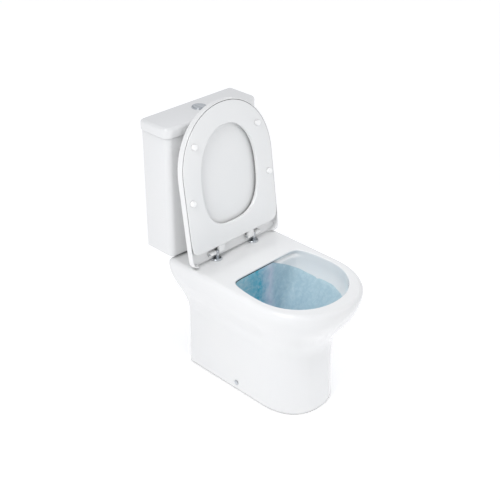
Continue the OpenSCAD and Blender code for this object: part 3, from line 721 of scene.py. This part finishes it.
bolt = joined("coupling_bolt", [hexagon_head("bolt head", 8, 419, 425),
                                threaded("bolt shank", 4, 352, 419)])
bolts = set_out("coupling_bolt_pair", bolt, steel_finish, [coupling_row])
place_piece(bolts, steel_finish, "toilet", "steel", "coupling_bolts")


def washer_pair(name, row, height):
    """Two rubber washers lying at a height, in millimetres."""
    shape = soften([(4.02, 0), (13, 0), (13, 3), (4.02, 3)], 0.8)
    return set_out(name, turned("washer", shape, (0, 0, 0), count=48), rubber_finish, [row], height)


for name, height in (("coupling_washers_upper", 416), ("coupling_washers_lower", 379)):
    washers = washer_pair(name, coupling_row, height)
    place_piece(washers, rubber_finish, "toilet", "rubber", "coupling_washers")


def wing_nut():
    """Hub with a rounded skirt and two ribbed wings, hanging down from z 0."""
    hub_shape = soften([(4.02, -12), (8, -12), (9, -8), (9, 0), (4.02, 0)], 0.7)
    hub = turned("hub", hub_shape, (0, 0, 0), count=48)
    wings = [block("wing", (-2, y0, -12), (2, y0 + 11, -3), 1.2) for y0 in (-19, 8)]
    ribs = [block("rib", (-2.6, y, -10.5), (2.6, y + 1.2, -4.5), 0.4) for y in (-17, -14, 13, 16)]
    return joined("wing nut", [hub] + wings + ribs)


nuts = set_out("coupling_wing_nut_pair", wing_nut(), poly_finish, [coupling_row], 379)
place_piece(nuts, poly_finish, "toilet", "white_plastic", "coupling_wing_nuts")


# ---------------------------------------------------------------- cistern tank
# Slip-cast vitreous china box with a slightly bowed front, open at the top, with holes in its
# floor for the valves and bolts and two in its back for the wall screws.
def tank_ring(inset, z):
    return box_ring(174 - inset, 206 + inset, 325 - inset, 20 - inset, 8 - inset / 2, 6, z)


tank_rings = [tank_ring(i, z) for i, z in ((5, 404), (2.5, 404.6), (1, 406), (0.2, 408), (0, 410))]
tank_rings += [tank_ring(0, z) for z in range(440, 780, 34)]
tank_rings += [tank_ring(i, z) for i, z in
               ((0, 783.5), (0.8, 785.3), (2.5, 786), (6.5, 786), (8.2, 785.3), (9, 783.5))]
tank_rings += [tank_ring(9, z) for z in range(750, 430, -40)]
tank_rings += [tank_ring(i, z) for i, z in ((9, 422), (11, 418), (15, 416))]
tank = solid("cistern_china", tank_rings)
carve(tank, [
    bar("flush valve hole", (0, inlet_y, 400), (0, inlet_y, 420), 31, 96),
    bar("fill valve hole", (135, inlet_y, 400), (135, inlet_y, 420), 11.5, 48),
    *bar_pair("bolt hole", (bolt_x, inlet_y, 400), (bolt_x, inlet_y, 420), 6),
    *bar_pair("wall hole", (130, 305, 700), (130, 330, 700), 4, 32),
], "DIFFERENCE")
place_piece(tank, china_finish, "toilet", "china", "cistern_tank")


# ---------------------------------------------------------------- flush and fill valves
# Moulded valve bodies standing in the tank: base with seal and back nut, open tower, lifting
# canister with its seal, and the bottom inlet fill valve with its float on the column.
for node, edge, material, slot, body in [
    ("flush_valve_base", 0.5, poly_finish, "white_plastic", "toilet"),
    ("flush_valve_seal", 0.3, rubber_finish, "rubber", "toilet"),
    ("flush_valve_backnut", 0.8, poly_finish, "white_plastic", "toilet"),
    ("flush_valve_tower", 0.5, poly_finish, "white_plastic", "toilet"),
    ("flush_valve_canister", 0.5, grey_finish, "grey_plastic", "canister"),
    ("canister_seal", 0.5, rubber_finish, "rubber", "canister"),
    ("fill_valve_body", 0.5, poly_finish, "white_plastic", "toilet"),
    ("fill_valve_washer", 0.4, rubber_finish, "rubber", "toilet"),
    ("fill_valve_nut", 0.6, poly_finish, "white_plastic", "toilet"),
    ("fill_valve_float", 1.5, grey_finish, "grey_plastic", "float"),
]:
    place_piece(fettle(node, edge), material, body, slot, node)


# ---------------------------------------------------------------- cistern lid
# Slip-cast china lid with a softly rolled top edge. It overhangs the tank all round but the
# back, sits down over it on an inner lip, and has one hole for the button.
def lid_ring(inset, z):
    return box_ring(181 - inset, 200 + inset, 325 - inset, 24 - inset, 12 - inset / 2, 6, z)


lid_rings = [tank_ring(i, z) for i, z in
             ((15.5, 806), (15.5, 780), (14.5, 776.5), (13, 776), (11.5, 776.5), (10.5, 779), (10.5, 786))]
lid_rings += [lid_ring(i, z) for i, z in ((3, 786), (1.2, 786.5), (0.3, 787.6), (0, 789), (0, 798))]
for a in range(0, 91, 9):
    lid_rings.append(lid_ring(10 * (1 - math.cos(math.radians(a))), 808 + 10 * math.sin(math.radians(a))))
lid = solid("cistern_lid_china", lid_rings)
carve(lid, [bar("button hole", (0, inlet_y, 780), (0, inlet_y, 830), 20, 96)], "DIFFERENCE")
place_piece(lid, china_finish, "toilet", "china", "cistern_lid")


# ---------------------------------------------------------------- dual flush button
# Chromed collar through the lid, clamped from below by a grey nut, with a push button split
# into a larger full flush part and a smaller half flush part, each on its own rod.
collar_shape = [(18.5, 794), (19.7, 794), (19.7, 818), (22.5, 818)]
collar_shape += [(22.5 - 1.6 * (1 - math.cos(a)), 819.2 + 1.8 * math.sin(a))
                 for a in np.linspace(0, math.pi / 2, 7)]
collar_shape += [(20.2, 821), (19.2, 820.6), (18.5, 819.6)]
collar = turned("button_collar_ring", collar_shape, (0, inlet_y, 0), count=128)
place_piece(collar, chrome_finish, "toilet", "chrome", "button_collar")
place_piece(fettle("button_nut", 0.6), grey_finish, "toilet", "grey_plastic", "button_nut")


def cut_disc(radius, low_x, high_x, z):
    """Disc outline about the button's axis, cut off square at two x values."""
    ring = circle(radius, 120)
    keep = np.clip(ring[:, 0], low_x, high_x)
    return np.column_stack([keep, ring[:, 1] + inlet_y, np.full(len(ring), float(z))])


def button_part(name, low_x, high_x):
    """Thin dished cap with rounded edges over a plain skirt."""
    rings = [cut_disc(17.6, low_x + 0.6, high_x - 0.6, 810), cut_disc(18.2, low_x, high_x, 810.8),
             cut_disc(18.2, low_x, high_x, 820.4)]
    for a in np.linspace(0, math.pi / 2, 6)[1:]:
        inset = 1.6 * (1 - math.cos(a))
        rings.append(cut_disc(18.2 - inset, low_x + inset, high_x - inset, 820.4 + 1.6 * math.sin(a)))
    for inset in (3, 5):
        rings.append(cut_disc(18.2 - inset, low_x + inset, high_x - inset, 822 - 0.12 * (inset - 1.6)))
    return solid(name, rings)


full_button = button_part("full_flush_cap", -4.7, 18.2)
place_piece(full_button, chrome_finish, "full_button", "chrome", "full_flush_button")
half_button = button_part("half_flush_cap", -18.2, -5.3)
place_piece(half_button, chrome_finish, "half_button", "chrome", "half_flush_button")
place_piece(fettle("full_push_rod", 0.4), poly_finish, "full_button", "white_plastic", "full_push_rod")
place_piece(fettle("half_push_rod", 0.4), poly_finish, "half_button", "white_plastic", "half_push_rod")


# ---------------------------------------------------------------- hinge fixings
# Chromed round bases on the deck with upright posts, on plated studs through the china, held
# from below by a rubber washer and a moulded wing nut. A steel pin crosses each post.
hinge_height = pan_top + 23
base_shape = soften([(4.02, 400), (17, 400), (17, 403.4, 1.2), (15.5, 405, 0.8), (4.02, 405)], 0.4)
base = turned("base", base_shape, (0, 0, 0), count=96)
place_piece(set_out("hinge_base_pair", base, chrome_finish, [hinge_row]), chrome_finish,
            "toilet", "chrome", "hinge_bases")
place_piece(fettle("hinge_posts", 0.7), chrome_finish, "toilet", "chrome", "hinge_posts")
stud = threaded("stud", 4, 350, 405)
place_piece(set_out("hinge_stud_pair", stud, steel_finish, [hinge_row]), steel_finish,
            "toilet", "steel", "hinge_studs")
place_piece(washer_pair("hinge_washer_pair", hinge_row, 383), rubber_finish,
            "toilet", "rubber", "hinge_washers")
place_piece(set_out("hinge_nut_pair", wing_nut(), poly_finish, [hinge_row], 383), poly_finish,
            "toilet", "white_plastic", "hinge_nuts")
pin = turned("pin", soften([(0.01, -28.1, 0), (3, -28.1), (3, 28.1), (0.01, 28.1, 0)], 0.6), (0, 0, 0),
             (1, 0, 0), 48)
place_piece(set_out("hinge_pin_pair", pin, steel_finish, [hinge_row], hinge_height), steel_finish,
            "toilet", "steel", "hinge_pins")


# ---------------------------------------------------------------- seat
# Compression-moulded duroplast ring, rounded over on top, with a softer edge round the hole,
# barrels moulded on at the back and four white buffers underneath. Drawn raised.
RAISED = math.radians(-98)


def raise_up(piece):
    """Turn a piece made in its closed place up to the hinge stop."""
    axis = Vector((0, hinge_y, hinge_height)) * MM
    turn_back = Matrix.Rotation(RAISED, 4, "X")
    piece.data.transform(Matrix.Translation(axis) @ turn_back @ Matrix.Translation(-axis))
    return piece


# Duroplast, compression moulded from urea resin: hard, cool white, with a polished gloss a
# little softer than the china's and a faint orange peel, and painted shade in its narrow gaps.
seat_finish, tree = start_finish("moulded white duroplast")
place = add(tree, "ShaderNodeTexCoord").outputs["Object"]
peel = add(tree, "ShaderNodeTexNoise", None, {"Vector": place, "Scale": 1 / 0.003, "Detail": 2.0})
relief = add(tree, "ShaderNodeBump", None, {"Strength": 0.12, "Distance": 0.0001,
                                            "Height": peel.outputs["Fac"]})
cloud = add(tree, "ShaderNodeTexNoise", None, {"Vector": place, "Scale": 1 / 0.09, "Detail": 3.0})
white = add(tree, "ShaderNodeMix", {"data_type": "RGBA"},
            {"Factor": cloud.outputs["Fac"], 6: colour("#E9EAEA"), 7: colour("#EDEDEC")})
end_finish(tree, {"Base Color": painted_gap_shade(tree, white.outputs[2], 0.008), "Roughness": 0.22, "IOR": 1.58,
                  "Coat Weight": 0.3, "Coat Roughness": 0.08, "Normal": relief.outputs[0]})

# EVA buffers, moulded: matt, finely pitted, a brighter white than the seat.
buffer_finish, tree = start_finish("moulded white EVA")
place = add(tree, "ShaderNodeTexCoord").outputs["Object"]
foam = add(tree, "ShaderNodeTexNoise", None, {"Vector": place, "Scale": 1 / 0.001, "Detail": 3.0})
relief = add(tree, "ShaderNodeBump", None, {"Strength": 0.25, "Distance": 0.0001,
                                            "Height": foam.outputs["Fac"]})
soft_white = add(tree, "ShaderNodeMix", {"data_type": "RGBA"},
                 {"Factor": foam.outputs["Fac"], 6: colour("#FCFCFC"), 7: colour("#F8F8F6")})
end_finish(tree, {"Base Color": soft_white.outputs[2], "Roughness": 0.5, "IOR": 1.49,
                  "Normal": relief.outputs[0]})

seat_outer = outline(176.5, -124, 195, 225, 2.08, 16, 0)[:, :2]
seat_inner = outline(111, -99, 154, 143, 2.1, 2.8, 0)[:, :2]


def seat_section():
    """(side, distance in from that edge, height) round the moulding; side 0 outer, 1 inner."""
    five, six, seven = (np.linspace(0, math.pi / 2, steps + 1) for steps in (5, 6, 7))
    section = [(0, 2 - 2 * math.sin(a), 2 - 2 * math.cos(a)) for a in five]
    section += [(0, 6 - 6 * math.cos(a), 9 + 6 * math.sin(a)) for a in seven]
    section += [(1, 9 - 9 * math.sin(a), 7 + 8 * math.cos(a)) for a in seven]
    section += [(1, 4.5 - 4.5 * math.cos(a), 4.5 - 4.5 * math.sin(a)) for a in six]
    return section


def hoop(name, outer, inner, section, base):
    """Closed ring whose section runs between an outer and an inner outline."""
    inward = inner - outer
    inward = inward / np.linalg.norm(inward, axis=1)[:, None]
    rings = []
    for side, distance, height in section:
        line = outer + inward * distance if side == 0 else inner - inward * distance
        rings.append(np.column_stack([line, np.full(len(line), base + height)]))
    return solid(name, rings, ends=False)


seat = raise_up(hoop("seat_moulding", seat_outer, seat_inner, seat_section(), 410))
place_piece(seat, seat_finish, "seat", "seat_plastic", "seat")
place_piece(fettle("seat_hinges", 1.0), seat_finish, "seat", "seat_plastic", "seat_hinges")

buffer_shape = soften([(0.01, 400.3, 0), (8, 400.3, 1.8), (8, 410, 0.2), (0.01, 410, 0)], 0.5)
buffers = set_out("seat_buffer_set", turned("buffer", buffer_shape, (0, 0, 0), count=48), buffer_finish,
                  [(252, -222), (312, -62)])
place_piece(raise_up(buffers), buffer_finish, "seat", "soft_buffer", "seat_buffers")


# ---------------------------------------------------------------- cover
# The same duroplast, moulded as a shallow dish with a thin skirt that drops over the seat. The
# skirt stops short of the hinges. Drawn raised, leaning back on the hinge stops.
def cover_ring(inset, z):
    return outline(180.5 - inset, -124, 199 - inset, 263 - inset, 2.08, 24, z)


def open_back(ring, z_open):
    """Lift the ring to z_open between the hinges, with a short slope at each end."""
    out = ring.copy()
    sideways = np.clip((158 - np.abs(ring[:, 0])) / 8, 0, 1)
    share = np.where(ring[:, 1] > 90, sideways * sideways * (3 - 2 * sideways), 0)
    out[:, 2] += share * (z_open - out[:, 2])
    return out


cover_rings = [cover_ring(i, 430.3) for i in (150, 120, 90, 60, 30, 12, 7)]
cover_rings += [cover_ring(4.2, 430.0), cover_ring(3.3, 429.2)]
cover_rings += [open_back(cover_ring(3, z), 430.3) for z in (428, 420, 413)]
cover_rings += [open_back(cover_ring(2.5, 412.2), 430.3), open_back(cover_ring(1.5, 412), 430.2),
                open_back(cover_ring(0.6, 412.2), 430.3)]
cover_rings += [open_back(cover_ring(0, z), lip) for z, lip in ((413, 430.4), (420, 430.5), (428, 430.6))]
for a in range(9, 91, 9):
    turned_in = 6 * (1 - math.cos(math.radians(a)))
    cover_rings.append(open_back(cover_ring(turned_in, 428 + 6 * math.sin(math.radians(a))),
                                 430.6 + 3.4 * math.sin(math.radians(a))))
for i in (12, 25, 45, 70, 100, 130, 150):
    cover_rings.append(cover_ring(i, 434 + smooth((i - 6) / 110)))
cover = raise_up(solid("cover_moulding", cover_rings))
place_piece(cover, seat_finish, "cover", "seat_plastic", "cover")
place_piece(fettle("cover_hinges", 1.0), seat_finish, "cover", "seat_plastic", "cover_hinges")

cover_buffer_shape = soften([(0.01, 425.3, 0), (5, 425.3, 1.4), (5, 430, 0.2), (0.01, 430, 0)], 0.4)
cover_buffers = set_out("cover_buffer_set", turned("buffer", cover_buffer_shape, (0, 0, 0), count=40),
                        buffer_finish, [(236, -228), (292, -62)])
place_piece(raise_up(cover_buffers), buffer_finish, "cover", "soft_buffer", "cover_buffers")
